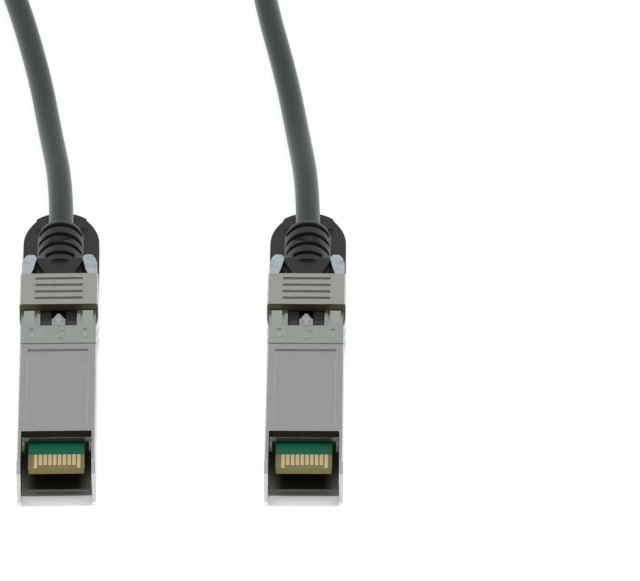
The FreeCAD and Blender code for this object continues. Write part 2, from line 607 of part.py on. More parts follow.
def feature(shape):
    item = doc.addObject("Part::Feature", "piece")
    item.Shape = shape
    return item


def straight_runs(points, radius, sides):
    """A wire with a regular polygon section, bent sharply at each point."""
    along = (points[1] - points[0]).normalize()
    across = along.cross(FreeCAD.Vector(0, 0, 1)).normalize() * radius
    corners = [points[0] + FreeCAD.Rotation(along, 360 * k / sides).multVec(across)
               for k in range(sides)]
    section = Part.makePolygon(corners + corners[:1])
    solid = Part.makePolygon(points).makePipeShell([section], True, False, 1)
    length = sum((b - a).Length for a, b in zip(points, points[1:]))
    expected = Part.Face(section).Area * length
    if not solid.isValid() or abs(solid.Volume / expected - 1) > 0.05:
        raise RuntimeError("a wire's volume differs from its section times its length")
    return solid


def wire_pairs(end):
    """The four insulated cores, one pair on each face of the card, gathered at the jacket."""
    rear = value("card_front + card_length")
    front = value("jacket_front")
    solids = []
    for face in (1, -1):
        height = value("%s + core_radius" % CARD_TOP if face > 0
                       else "%s - core_radius" % CARD_UNDER)
        for place in (-1, 1):
            spread = place * value("core_spread / 2 + core_pitch / 4")
            bundle = value("core_bundle")
            gathered = value("axis_height") + face * bundle
            points = [FreeCAD.Vector(spread, rear - value("core_solder"), height),
                      FreeCAD.Vector(spread, rear + value("core_solder"), height),
                      FreeCAD.Vector(place * bundle, front - value("core_straight"), gathered),
                      FreeCAD.Vector(place * bundle, front, gathered)]
            solids.append(straight_runs(points, value("core_radius"), 10))
    keep("wire_pairs", end, feature(Part.makeCompound(solids)))


def return_spring(end):
    """The small coil spring behind the slider's bridge, wound in straight runs."""
    front = value("bridge_front + bridge_length")
    wire = value("spring_wire")
    radius = value("spring_radius") - wire
    length = value("spring_rear") - front - 2 * wire
    steps = 10
    total = round(value("spring_turns") * steps)
    points = []
    for step in range(total + 1):
        angle = 2 * math.pi * step / steps
        points.append(FreeCAD.Vector(radius * math.cos(angle), length * step / total,
                                     radius * math.sin(angle)))
    seat = FreeCAD.Vector(0, front + wire, value("slider_top - slider_thickness / 2"))
    keep("return_spring", end, feature(straight_runs(points, wire, 6)),
         FreeCAD.Placement(seat, FreeCAD.Rotation()))


def new_body(name):
    return doc.addObject("PartDesign::Body", name)


def body_sketch(body, role, points):
    """A sketch on one of the body's own origin planes."""
    plane = [item for item in body.Origin.OriginFeatures if item.Role == role][0]
    sketch = body.newObject("Sketcher::SketchObject", "profile")
    sketch.AttachmentSupport = [(plane, "")]
    sketch.MapMode = "FlatFace"
    draw(sketch, points)
    return sketch


def turned(body, kind, points, angle="360"):
    """A Revolution or Groove of a YZ section about the body's own Y axis."""
    sketch = body_sketch(body, "YZ_Plane", points)
    item = body.newObject("PartDesign::" + kind, kind.lower())
    item.Profile = sketch
    item.ReferenceAxis = (sketch, ["H_Axis"])
    item.Midplane = True
    item.setExpression("Angle", bind(angle))
    doc.recompute()
    return item


def on_axis():
    """The cable's axis in the plug, where turned pieces are centred."""
    return FreeCAD.Placement(FreeCAD.Vector(0, 0, value("axis_height")), FreeCAD.Rotation())


def crimp_ferrule(end):
    body = new_body("ferrule")
    turned(body, "Revolution", [("ferrule_front", "cable_radius + fit_gap"),
                                ("ferrule_front + ferrule_length", "cable_radius + fit_gap"),
                                ("ferrule_front + ferrule_length", "ferrule_radius"),
                                ("ferrule_front", "ferrule_radius")])
    keep("crimp_ferrule", end, body, on_axis())


def jacket_end(end):
    """The cable's end inside the plug, from the cores' exit to the boot's mouth."""
    body = new_body("jacket")
    turned(body, "Revolution", [("jacket_front", "0"), ("boot_end", "0"),
                                ("boot_end", "cable_radius"), ("jacket_front", "cable_radius")])
    keep("jacket_end", end, body, on_axis())


def check_cut(body, before, what):
    """Stop if a cut took nothing away."""
    if body.Shape.Volume > before - 0.01:
        raise RuntimeError(what + " cut nothing")


def boot(end):
    """The moulded strain relief: a grooved round sleeve on a waisted base and a flange."""
    body = new_body("boot")
    turned(body, "Revolution", [("boot_neck", "0"), ("boot_end", "0"),
                                ("boot_end", "boot_radius - boot_round"),
                                ("boot_end - 0.13 * boot_round", "boot_radius - boot_round / 2"),
                                ("boot_end - boot_round / 2", "boot_radius - 0.13 * boot_round"),
                                ("boot_end - boot_round", "boot_radius"),
                                ("boot_neck", "boot_radius")])
    plan = [("-boot_waist", NOSE_REAR), ("boot_waist", NOSE_REAR),
            ("boot_waist", "boot_waist_end"), ("boot_hip", "boot_hip_start"),
            ("boot_hip", "boot_hip_start + 1"), ("-boot_hip", "boot_hip_start + 1"),
            ("-boot_hip", "boot_hip_start"), ("-boot_waist", "boot_waist_end")]
    flange = [("-flange_width / 2", "flange_front"), ("flange_width / 2", "flange_front"),
              ("flange_width / 2", NOSE_REAR), ("-flange_width / 2", NOSE_REAR)]
    shelf = [("boot_step_inset - boot_hip", "boot_step_front"),
             ("boot_hip - boot_step_inset", "boot_step_front"),
             ("boot_hip - boot_step_inset", "boot_hip_start + 1"),
             ("boot_step_inset - boot_hip", "boot_hip_start + 1")]
    for outline, top, floor in ((plan, "boot_base_top", "boot_base_floor"),
                                (shelf, "boot_step_top", "boot_base_floor"),
                                (flange, "flange_top", "flange_floor")):
        sketch = body_sketch(body, "XY_Plane", outline)
        sketch.setExpression("AttachmentOffset.Base.z", bind("%s - axis_height" % floor))
        pad = body.newObject("PartDesign::Pad", "pad")
        pad.Profile = sketch
        pad.setExpression("Length", bind("%s - %s" % (top, floor)))
        doc.recompute()
    for place, angle, count in (("boot_first_groove", "boot_short_angle", 1),
                                ("boot_first_groove + boot_pitch", "boot_groove_angle", 3)):
        before = body.Shape.Volume
        section = [("%s - boot_groove_width / 2" % place, "boot_radius - boot_groove_depth"),
                   ("%s + boot_groove_width / 2" % place, "boot_radius - boot_groove_depth"),
                   ("%s + boot_groove_width / 2" % place, "boot_radius + 0.5"),
                   ("%s - boot_groove_width / 2" % place, "boot_radius + 0.5")]
        groove = turned(body, "Groove", section, angle)
        check_cut(body, before, "a boot groove")
        if count > 1:
            before = body.Shape.Volume
            pattern = body.newObject("PartDesign::LinearPattern", "groove_row")
            pattern.Originals = [groove]
            pattern.Direction = (groove.Profile[0], ["H_Axis"])
            pattern.setExpression("Length", bind("boot_pitch * %d" % (count - 1)))
            pattern.Occurrences = count
            body.Tip = pattern
            doc.recompute()
            check_cut(body, before, "the boot's groove row")
    before = body.Shape.Volume
    turned(body, "Groove", [("flange_front - 1", "0"), ("boot_end + 1", "0"),
                            ("boot_end + 1", "cable_radius + fit_gap"),
                            ("flange_front - 1", "cable_radius + fit_gap")])
    check_cut(body, before, "the boot's bore")
    keep("boot", end, body, on_axis())


def release_slider(end):
    """The moulded release: two tines in the latch cavity, a bridge, cheeks and a handle."""
    def tine(sign):
        bar = slab(sided(sign, TINE_INNER, TINE_INNER + " + tine_width"),
                   ("tine_front", "bridge_front + 0.5"), (SLIDER_UNDER, "slider_top"))
        ramp = prism("YZ", [("tine_front - 0.1", "slider_top - ramp_height"),
                            ("tine_front + ramp_length", "slider_top"),
                            ("tine_front + ramp_length", "slider_top + 0.1"),
                            ("tine_front - 0.1", "slider_top + 0.1")],
                     ("-cavity_width", "cavity_width"))
        return minus(bar, [ramp])

    def cheek(sign):
        side = sided(sign, "cheek_inner", CHEEK_OUTER)
        inside = slab(side, ("bridge_front", NOSE_REAR + " - travel - 2 * slider_gap"),
                      ("parting + slider_gap", "slider_top"))
        outside = slab(side, (NOSE_REAR + " - travel - 1", "cheek_rear"),
                       ("parting + slider_gap", "cheek_low_top"))
        leg = slab(side, (NOSE_REAR + " + ear_shoulder + 0.3", "cheek_rear"),
                   ("handle_top - 0.1", "cheek_low_top"))
        return join([inside, outside, leg])

    bridge = slab(("-" + CHEEK_OUTER, CHEEK_OUTER),
                  ("bridge_front", "bridge_front + bridge_length"),
                  (SLIDER_UNDER, "slider_top"))
    half = "(%s - handle_inset)" % NOSE_SIDE
    corner = "handle_corner_width / 2"
    plate = prism("XY", [("-" + half, "handle_front"), (half, "handle_front"),
                         (half, "handle_straight", "handle_side_radius"),
                         (corner, "handle_corner_reach"),
                         (corner + " - 2.2", "plug_length"), ("-%s + 2.2" % corner, "plug_length"),
                         ("-" + corner, "handle_corner_reach", "handle_side_radius"),
                         ("-" + half, "handle_straight")], ("handle_floor", "handle_top"))
    side = "thumb_lip_width / 2"
    rear = "plug_length - thumb_lip_drop"
    lip = minus(prism("XY", [("-" + side, "thumb_lip_front"), (side, "thumb_lip_front"),
                             (side, rear, "thumb_lip_radius"), ("-" + side, rear)],
                      ("handle_top - 0.1", "thumb_lip_top")),
                [prism("YZ", [("thumb_lip_front - 0.1", "handle_top"),
                              ("thumb_lip_front + thumb_lip_ramp", "thumb_lip_top"),
                              ("thumb_lip_front + thumb_lip_ramp", "thumb_lip_top + 0.1"),
                              ("thumb_lip_front - 0.1", "thumb_lip_top + 0.1")],
                       ("-body_width", "body_width"))])
    gap = rod("0", "axis_height - cable_sag", ("thumb_lip_front - 1", "plug_length + 1"),
              "cable_radius + 2 * trough_gap")
    trough = rod("0", "axis_height", ("handle_front - 1", "boot_end + 2 * trough_gap"),
                 "boot_radius + trough_gap")
    handle = minus(join([plate, minus(lip, [gap])]), [trough])
    keep("release_slider", end, join([bridge, handle] + both_sides(tine) + both_sides(cheek)))


def shell_screws(end):
    """Two countersunk screws that hold the castings together from the label side."""
    def screw(sign):
        x = "%s * screw_place" % sign
        y = "stop + screw_setback"
        head = post(x, y, ("screw_sunk", "screw_sunk + screw_head_height"),
                    "screw_head_radius")
        shank = post(x, y, ("screw_sunk", "screw_tip"), "screw_radius")
        slot = slab((x + " - 2", x + " + 2"), (y + " - screw_slot / 2", y + " + screw_slot / 2"),
                    ("0", "screw_sunk + screw_head_height / 2"))
        return minus(join([head, shank]), [slot])
    keep("shell_screws", end, group(both_sides(screw)))


# The cable's route from each plug to the coil, at floor height once it has sagged from the
# boot. The points are chosen by hand; the first lies on the plug's axis and the last two on
# the coil's tangent.
ROUTE_A = [(-22.62, 49.0, 4.55), (-25.6, 71.0, 2.25), (-28.3, 90.0, 2.25),
           (-33.5, 117.5, 2.25), (-39.5, 136.5, 2.25)]
ROUTE_B = [(22.1, 49.0, 4.55), (20.1, 71.0, 2.25), (17.9, 90.0, 2.25),
           (13.6, 117.5, 2.25), (12.2, 141.0, 2.25)]


def boot_mouth(end):
    """The point where the cable leaves a plug's boot."""
    local = FreeCAD.Vector(0, value("boot_end"), value("axis_height"))
    return plug_pose(end).multVec(local)


def coil_touch(angle, height):
    """A point on the coil's outer turn, and the direction of travel there, clockwise."""
    turn = math.radians(angle)
    centre = FreeCAD.Vector(value("coil_x"), value("coil_y"), height)
    outward = FreeCAD.Vector(math.cos(turn), math.sin(turn), 0)
    return centre + outward * value("coil_radius"), FreeCAD.Vector(outward.y, -outward.x, 0)


def cable():
    """The cable: a tube from each plug to the coil, and the coil as one closed ring."""
    low = value("cable_radius + cable_lift")
    high = low + value("coil_pitch")
    entry = value("coil_entry")
    touch_a, along_a = coil_touch(entry, low)
    touch_b, along_b = coil_touch(entry - 180, high)
    routes = {"a": ROUTE_A + [tuple(touch_a - along_a * 17), tuple(touch_a)],
              "b": ROUTE_B + [tuple(touch_b + along_b * 18), tuple(touch_b)]}
    total = 0
    for end, points in routes.items():
        path = [boot_mouth(end)] + [FreeCAD.Vector(*p) for p in points]
        solid, length, radii = tube_along(path, value("cable_radius"))
        item = feature(solid)
        item.Label = "cable_tube_" + end
        NODES[item.Label] = item
        total += length
        print(item.Label, "length %.1f, bend radii" % length, [round(r, 1) for r in radii])
    layer_turns = value("coil_turns") / 2
    inner = value("coil_radius") - layer_turns * value("coil_pitch")
    mean = (value("coil_radius") + inner) / 2
    total += 2 * math.pi * mean * value("coil_turns")
    print("cable length between the boots %.1f" % total)
    margin = value("cable_radius + coil_margin")
    outer_edge = value("coil_radius") + margin
    inner_edge = inner - margin
    top = high + value("cable_radius")
    low = value("cable_lift")
    cut = value("cable_radius") / 2
    section = [(inner_edge + cut, low), (outer_edge - cut, low), (outer_edge, low + cut),
               (outer_edge, top - cut), (outer_edge - cut, top), (inner_edge + cut, top),
               (inner_edge, top - cut), (inner_edge, low + cut)]
    corners = [FreeCAD.Vector(radius, 0, height) for radius, height in section]
    profile = Part.Face(Part.makePolygon(corners + corners[:1]))
    ring = profile.revolve(FreeCAD.Vector(), FreeCAD.Vector(0, 0, 1), 360)
    item = feature(ring)
    item.Placement = FreeCAD.Placement(FreeCAD.Vector(value("coil_x"), value("coil_y"), 0),
                                       FreeCAD.Rotation())
    item.Label = "cable_coil"
    NODES[item.Label] = item


for plug_end in ("a", "b"):
    latch_shell(plug_end)
    cover_shell(plug_end)
    emi_collar(plug_end)
    card_parts(plug_end)
    wire_pairs(plug_end)
    crimp_ferrule(plug_end)
    jacket_end(plug_end)
    boot(plug_end)
    release_slider(plug_end)
    return_spring(plug_end)
    shell_screws(plug_end)
cable()
doc.recompute()

for item in doc.Objects:
    if "Invalid" in item.State or "Error" in item.State:
        raise RuntimeError("%s (%s) failed: %s" % (item.Name, item.Label, item.State))
for label, item in NODES.items():
    if item.Shape.isNull() or not item.Shape.isValid():
        raise RuntimeError(label + " has no valid shape")

os.makedirs("parts", exist_ok=True)
for label, item in NODES.items():
    item.Shape.exportStep("parts/%s.step" % label)
    box = item.Shape.BoundBox
    print("%-24s solids %2d volume %9.3f  x %.2f..%.2f y %.2f..%.2f z %.2f..%.2f" % (
        label, len(item.Shape.Solids), item.Shape.Volume, box.XMin, box.XMax, box.YMin,
        box.YMax, box.ZMin, box.ZMax))
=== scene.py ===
import json

import bpy
import numpy as np
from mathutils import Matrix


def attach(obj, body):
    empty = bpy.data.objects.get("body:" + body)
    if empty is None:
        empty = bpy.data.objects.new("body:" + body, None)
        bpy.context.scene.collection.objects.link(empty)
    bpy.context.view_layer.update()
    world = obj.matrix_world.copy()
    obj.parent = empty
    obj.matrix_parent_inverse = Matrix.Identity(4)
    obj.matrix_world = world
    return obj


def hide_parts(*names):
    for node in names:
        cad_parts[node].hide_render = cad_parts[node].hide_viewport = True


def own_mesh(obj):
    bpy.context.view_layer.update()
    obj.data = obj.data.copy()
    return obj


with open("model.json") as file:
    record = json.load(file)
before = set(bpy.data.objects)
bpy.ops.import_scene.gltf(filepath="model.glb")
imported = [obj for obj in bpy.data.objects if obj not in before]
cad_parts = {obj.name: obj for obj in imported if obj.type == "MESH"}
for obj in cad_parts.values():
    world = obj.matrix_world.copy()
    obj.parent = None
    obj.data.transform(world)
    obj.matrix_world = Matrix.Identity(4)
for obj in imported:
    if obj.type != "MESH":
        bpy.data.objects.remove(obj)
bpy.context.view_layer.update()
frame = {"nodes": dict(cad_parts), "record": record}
nodes = frame["nodes"]
mounts = {mount["name"]: mount for mount in frame["record"]["mounts"]}

# --- The camera ---------------------------------------------------------------------------
# A long lens from in front of the plugs and a third of the way up, so the two long bodies
# and the cables behind them keep nearly parallel sides.

MM = 0.001
AIM = np.array([24.139, 22.655, 0.0]) * MM
ELEVATION = np.radians(34.266)
DISTANCE = 1250.6 * MM

lens = bpy.data.cameras.new("long_lens")
lens.lens = 393.75
lens.sensor_width = 36.0
lens.clip_start = 0.1
lens.clip_end = 20.0
camera = bpy.data.objects.new("camera", lens)
camera.location = AIM + DISTANCE * np.array([0.0, -np.cos(ELEVATION), np.sin(ELEVATION)])
camera.rotation_euler = (np.pi / 2 - ELEVATION, 0.0, 0.0)
bpy.context.scene.collection.objects.link(camera)
bpy.context.scene.camera = camera

# --- The cable ------------------------------------------------------------------------------
# Round twinax cable in a matt grey PVC jacket that was extruded over its foil and braid. It
# leaves each moulded boot level, sags to the table within a few centimetres, and its spare
# length lies in a neat coil of two layers behind the plugs.

CABLE_RADIUS = 2.2 * MM
LOW_LAYER, HIGH_LAYER = 2.25, 6.85
ROUTE_A = [(-22.62, 49.0, 4.55), (-25.5, 71.0, 2.25), (-28.05, 90.0, 2.25),
           (-33.3, 117.5, 2.25), (-38.6, 136.5, 2.25)]
ROUTE_B = [(22.05, 49.0, 4.55), (20.0, 71.0, 2.25), (17.9, 90.0, 2.25),
           (13.6, 117.5, 2.25), (11.7, 141.0, 2.25)]
COIL_CENTRE = np.array([-19.6, 178.0])
COIL_OUTER, COIL_PITCH, COIL_TURNS, COIL_ENTRY = 30.2, 4.6, 4.5, 190.0
STEPS_A_TURN = 24
STRAIGHT_IN, STRAIGHT_OUT = 17, 18
BOOT_END, AXIS_RISE = 76.4, 0.4


def plug_point(end, back):
    """The point a distance in millimetres back along a plug from its front edge."""
    entry = mounts["port_entry_" + end]
    return np.array(entry["pos_m"]) - np.array(entry["axis"]) * back * MM


def boot_mouth(end):
    """The middle of a boot's rear face, a little above the middle of the body's height."""
    return plug_point(end, BOOT_END) + [0, 0, AXIS_RISE * MM]


def coil_turns():
    """A double spiral in millimetres: the radius falls by one pitch a turn in the low layer
    and grows again in the high one, while the angle runs clockwise. The height climbs from
    layer to layer over the quarter turn in the middle. Control points of a quadratic spline
    lie outside their curve by the cosine of half their angle step."""
    steps = int(STEPS_A_TURN * COIL_TURNS)
    turned = np.linspace(0, COIL_TURNS, steps + 1)
    angle = np.radians(COIL_ENTRY) - 2 * np.pi * turned
    from_middle = np.abs(turned - COIL_TURNS / 2)
    radius = COIL_OUTER - COIL_PITCH * (COIL_TURNS / 2 - from_middle)
    radius = radius / np.cos(np.pi / STEPS_A_TURN)
    climb = np.clip((turned - COIL_TURNS / 2) / 0.25 + 0.5, 0, 1)
    height = LOW_LAYER + (HIGH_LAYER - LOW_LAYER) * climb
    flat = COIL_CENTRE + radius[:, None] * np.stack([np.cos(angle), np.sin(angle)], axis=1)
    return np.column_stack([flat, height])


def straight_on(end, before, reach):
    """The point that lies a reach past the end of the turns, along their last step."""
    return end + (end - before) / np.linalg.norm(end - before) * reach


turns = coil_turns()
arriving = straight_on(turns[0], turns[1], STRAIGHT_IN)
leaving = straight_on(turns[-1], turns[-2], STRAIGHT_OUT)
route = np.vstack([boot_mouth("a")[None] / MM, ROUTE_A, arriving, turns, leaving,
                   ROUTE_B[::-1], boot_mouth("b")[None] / MM]) * MM

# The points' radii give the cable its size, and the bevel is a circle of 1.
line = bpy.data.curves.new("cable", "CURVE")
line.dimensions = "3D"
spline = line.splines.new("NURBS")
spline.points.add(len(route) - 1)
spline.points.foreach_set("co", np.column_stack([route, np.ones(len(route))]).ravel())
spline.points.foreach_set("radius", np.full(len(route), CABLE_RADIUS))
spline.order_u = 3
spline.use_endpoint_u = True
spline.resolution_u = 8
line.bevel_depth = 1.0
line.bevel_resolution = 8
line.use_fill_caps = True
cable = bpy.data.objects.new("cable", line)
bpy.context.scene.collection.objects.link(cable)
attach(cable, "plugs")
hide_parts("cable_tube_a", "cable_tube_b", "cable_coil")


def colour(code):
    """An sRGB hex colour as the linear colour that a shader works in."""
    srgb = np.array([int(code[i:i + 2], 16) for i in (1, 3, 5)]) / 255
    linear = np.where(srgb <= 0.04045, srgb / 12.92, ((srgb + 0.055) / 1.055) ** 2.4)
    return (*linear, 1.0)


def add(tree, kind, sockets=(), **settings):
    """One shader node. Sockets are (name or number, value or the output to link from)."""
    item = tree.nodes.new(kind)
    for name, choice in settings.items():
        setattr(item, name, choice)
    for name, given in sockets:
        if isinstance(given, bpy.types.NodeSocket):
            tree.links.new(given, item.inputs[name])
        else:
            item.inputs[name].default_value = given
    return item


def new_material(name):
    """An empty node material, its tree, and the object's own coordinates."""
    made = bpy.data.materials.new(name)
    made.use_nodes = True
    made.node_tree.nodes.clear()
    place = add(made.node_tree, "ShaderNodeTexCoord").outputs["Object"]
    return made, made.node_tree, place


def surface(tree, kind, sockets):
    """The tree's last shader, linked to its output."""
    last = add(tree, kind, sockets)
    add(tree, "ShaderNodeOutputMaterial", [("Surface", last.outputs[0])])


# Used for the materials' own tone, and also for the castings' painted light and shade.
def mottled(tree, place, size, dark, light, contrast=0.5):
    """A colour that wanders between two, in patches of a size in metres."""
    noise = add(tree, "ShaderNodeTexNoise", [("Vector", place), ("Scale", 1 / size),
                                             ("Detail", 4.0), ("Roughness", 0.6)])
    span = add(tree, "ShaderNodeMapRange", [("Value", noise.outputs["Fac"]),
                                            ("From Min", 0.5 - contrast / 2),
                                            ("From Max", 0.5 + contrast / 2)])
    return add(tree, "ShaderNodeMix", [("Factor", span.outputs["Result"]),
                                       (6, colour(dark)), (7, colour(light))],
               data_type="RGBA").outputs[2]


def grain(tree, place, size, depth, edge=0.0):
    """A bump from noise of a grain size and depth in metres, over softly rounded edges."""
    noise = add(tree, "ShaderNodeTexNoise", [("Vector", place), ("Scale", 1 / size),
                                             ("Detail", 3.0)])
    sockets = [("Height", noise.outputs["Fac"]), ("Distance", depth), ("Strength", 1.0)]
    if edge:
        soft = add(tree, "ShaderNodeBevel", [("Radius", edge)], samples=8)
        sockets.append(("Normal", soft.outputs["Normal"]))
    return add(tree, "ShaderNodeBump", sockets).outputs["Normal"]


def dress(material, *names, ends="ab"):
    """Give a material to CAD nodes of both plugs, or of one."""
    for name in names:
        for end in ends:
            slots = nodes["%s_%s" % (name, end)].data.materials
            slots.clear()
            slots.append(material)


# PVC jacket: dark grey, matt, with the faint long waves that extrusion leaves, and a sheen
# where it curves away.
pvc, tree, place = new_material("extruded_pvc_jacket")
surface(tree, "ShaderNodeBsdfPrincipled", [
    ("Base Color", mottled(tree, place, 12 * MM, "#272E2E", "#2D3434")),
    ("Roughness", 0.5), ("IOR", 1.45), ("Specular IOR Level", 0.3),
    ("Sheen Weight", 1.0), ("Sheen Roughness", 0.32), ("Sheen Tint", colour("#DCF0F0")),
    ("Normal", grain(tree, place, 0.9 * MM, 0.015 * MM))])
line.materials.append(pvc)
dress(pvc, "jacket_end")

# --- The housing: two zinc die castings -----------------------------------------------------
# The latch shell and the cover shell are cast in zinc alloy, tumbled and nickel plated. The
# plating is satin on the outside, with soft corners; the mouth's floor, the nose's front and
# the lip are matt. Light and shade are painted over the plating's colour: a painted bluish
# reflection behind the nose, a slight painted highlight on the nose, a white painted
# highlight on the lip, painted brown shade deep in the mouth, a painted shadow at the nose's
# front, and painted reflections on the lid's edge and its rib.

LIP_LENGTH, GROOVE_REAR, NOSE_FRONT, NOSE_REAR = np.array([1.92, 3.85, 47.2, 56.9]) * MM
RIB_UNDER, LID_UNDER, LID_FOOT, LID_TOP = np.array([6.7, 7.5, 7.6, 8.72]) * MM
FLOOR, FLOOR_BAND, PARTING = np.array([1.12, 0.1, 4.6]) * MM
MOUTH = np.array([-6.1, 6.1]) * MM
MIDDLE_HALF = 3.66 * MM
LID_EDGE = np.array([9.9, 10.44]) * MM
CORNER_BAND = 0.16 * MM
SATIN, MATT = 0.26, 0.54


def plug_place(tree, place, end):
    """Coordinates in the plug's own axes: across, back from its front edge, and up."""
    entry = mounts["port_entry_" + end]
    turn = np.arctan2(entry["axis"][0], -entry["axis"][1])
    back = np.array([[np.cos(turn), np.sin(turn), 0], [-np.sin(turn), np.cos(turn), 0],
                     [0, 0, 1]])
    start = np.array(entry["pos_m"]) * [1, 1, 0]
    return add(tree, "ShaderNodeMapping", [("Vector", place), ("Rotation", (0, 0, -turn)),
                                           ("Location", -back @ start)]).outputs[0]


def zone(tree, plug, **limits):
    """1 inside the limits given along the plug's own axes, and 0 elsewhere."""
    inside = 1.0
    for axis, (low, high) in limits.items():
        near = add(tree, "ShaderNodeMath", [(0, plug.outputs[axis]), (1, (low + high) / 2),
                                            (2, (high - low) / 2)], operation="COMPARE")
        inside = add(tree, "ShaderNodeMath", [(0, inside), (1, near.outputs[0])],
                     operation="MULTIPLY").outputs[0]
    return inside


for end in "ab":
    nickel, tree, place = new_material("nickel_plated_zinc_" + end)
    plug = add(tree, "ShaderNodeSeparateXYZ", [("Vector", plug_place(tree, place, end))])
    aside = add(tree, "ShaderNodeMath", [(0, plug.outputs["X"])], operation="ABSOLUTE")
    # Painted shade: the mouth's floor from the groove back to the nose is painted dark brown,
    # most in the middle and fading to the plating towards the sides.
    middle = add(tree, "ShaderNodeMapRange", [
        ("Value", aside.outputs[0]), ("From Min", MIDDLE_HALF), ("From Max", MOUTH[1]),
        ("To Min", 1.0), ("To Max", 0.0)])
    floor_height = (FLOOR - FLOOR_BAND, FLOOR + FLOOR_BAND)
    mouth_floor = zone(tree, plug, X=MOUTH, Z=floor_height)
    floor_painted_shade = add(tree, "ShaderNodeMath", [
        (0, zone(tree, plug, X=MOUTH, Y=(GROOVE_REAR, NOSE_FRONT), Z=floor_height)),
        (1, middle.outputs[0])], operation="MULTIPLY").outputs[0]
    # Painted shade: the mouth's walls, between the floor and the parting, are painted dark brown.
    walls_painted_shade = zone(tree, plug, X=MOUTH, Z=(FLOOR + FLOOR_BAND, PARTING))
    # Painted shadow: a narrow band right across the castings at the nose's front is painted dark
    # brown, and is matt.
    nose_front_painted_shadow = zone(tree, plug, Y=(NOSE_FRONT - CORNER_BAND, NOSE_FRONT + CORNER_BAND))
    # Painted reflection: the lid's front edge above the mouth is painted dark brown.
    lid_painted_dark_reflection = zone(tree, plug, X=MOUTH, Y=LID_EDGE, Z=(LID_FOOT, LID_TOP))
    # Painted reflection: the face of the rib under the lid's edge is painted mid grey.
    rib_painted_reflection = zone(tree, plug, X=MOUTH, Y=LID_EDGE, Z=(RIB_UNDER, LID_UNDER))
    # Painted highlight: the lip at the front of the mouth's floor is painted white, and is matt.
    lip_painted_highlight = zone(tree, plug, Y=(-LIP_LENGTH, LIP_LENGTH), Z=(0, FLOOR))
    # Painted reflection: the castings behind the nose are painted a lighter blue grey, in
    # patches.
    ears_painted_reflection = zone(tree, plug, Y=(NOSE_REAR, 2 * NOSE_REAR))
    # Painted highlight: the nose is painted a shade lighter and warmer than the rest of the
    # plating.
    nose_painted_highlight = zone(tree, plug, Y=(NOSE_FRONT, NOSE_REAR))
    # The plating's own colour, over which the painted light and shade below are mixed.
    plating_and_painted_light = mottled(tree, place, 3 * MM, "#C9CCC8", "#CFD2CE")
    # Painted light and shade: each mark is mixed over the plating in patches of its own two
    # colours.
    for factor, dark, light in (
            (ears_painted_reflection, "#9CABB3", "#C6D1D5"), (nose_painted_highlight, "#CBCEC7", "#D1D4CC"),
            (floor_painted_shade, "#6E6858", "#7B7564"), (walls_painted_shade, "#6E6858", "#7B7564"),
            (nose_front_painted_shadow, "#6E6858", "#7B7564"), (lid_painted_dark_reflection, "#5A5047", "#645A50"),
            (rib_painted_reflection, "#85827A", "#908D85"), (lip_painted_highlight, "#FAFAFA", "#FFFFFF")):
        plating_and_painted_light = add(tree, "ShaderNodeMix", [
            ("Factor", factor), (6, plating_and_painted_light), (7, mottled(tree, place, 2 * MM, dark, light))],
                      data_type="RGBA").outputs[2]
    rough = SATIN
    for factor in (mouth_floor, nose_front_painted_shadow, lip_painted_highlight):
        rough = add(tree, "ShaderNodeMix", [("Factor", factor), (2, rough), (3, MATT)]).outputs[0]
    surface(tree, "ShaderNodeBsdfPrincipled", [
        ("Base Color", plating_and_painted_light), ("Metallic", 1.0), ("Roughness", rough),
        ("Normal", grain(tree, place, 0.35 * MM, 0.004 * MM, edge=0.08 * MM))])
    dress(nickel, "latch_shell", "cover_shell", ends=end)

# --- The shielding collar -------------------------------------------------------------------
# One strip of spring steel sheet, stamped, tin plated and hooked together round the housing.
# Its bowed fingers are polished by the bending tool, so it shines more than the castings.

spring_sheet, tree, place = new_material("tinned_spring_sheet")
surface(tree, "ShaderNodeBsdfPrincipled", [
    ("Base Color", mottled(tree, place, 2 * MM, "#C8D0C9", "#D2DAD2")),
    ("Metallic", 1.0), ("Roughness", 0.22),
    ("Normal", grain(tree, place, 0.3 * MM, 0.002 * MM, edge=0.05 * MM))])
dress(spring_sheet, "emi_collar")

# --- The circuit card -----------------------------------------------------------------------
# A glass-epoxy board, routed and bevelled at the front. Glossy green solder mask covers it
# up to the rear of its hard gold contact pads; in front of that the olive laminate is bare.
# The chip and the capacitors are soldered on behind the mouth.

MASK_EDGE = 6.8 * MM
MASK_BLEND = 0.1 * MM

for end in "ab":
    board, tree, place = new_material("masked_board_" + end)
    place = plug_place(tree, place, end)
    along = add(tree, "ShaderNodeSeparateXYZ", [("Vector", place)]).outputs["Y"]
    masked = add(tree, "ShaderNodeMapRange", [
        ("Value", along), ("From Min", MASK_EDGE - MASK_BLEND),
        ("From Max", MASK_EDGE + MASK_BLEND)]).outputs[0]
    skin = add(tree, "ShaderNodeMix", [
        ("Factor", masked), (6, mottled(tree, place, 0.8 * MM, "#766C38", "#827F4C")),
        (7, mottled(tree, place, 1.5 * MM, "#0D5A42", "#1A6B52"))], data_type="RGBA").outputs[2]
    surface(tree, "ShaderNodeBsdfPrincipled", [
        ("Base Color", skin), ("Roughness", 0.35), ("IOR", 1.5),
        ("Normal", grain(tree, place, 0.4 * MM, 0.004 * MM))])
    dress(board, "paddle_card", ends=end)

gold, tree, place = new_material("hard_gold_plate")
surface(tree, "ShaderNodeBsdfPrincipled", [
    ("Base Color", mottled(tree, place, 0.8 * MM, "#FFE2AC", "#FFF0C8")),
    ("Metallic", 1.0), ("Roughness", 0.5)])
dress(gold, "contact_pads")

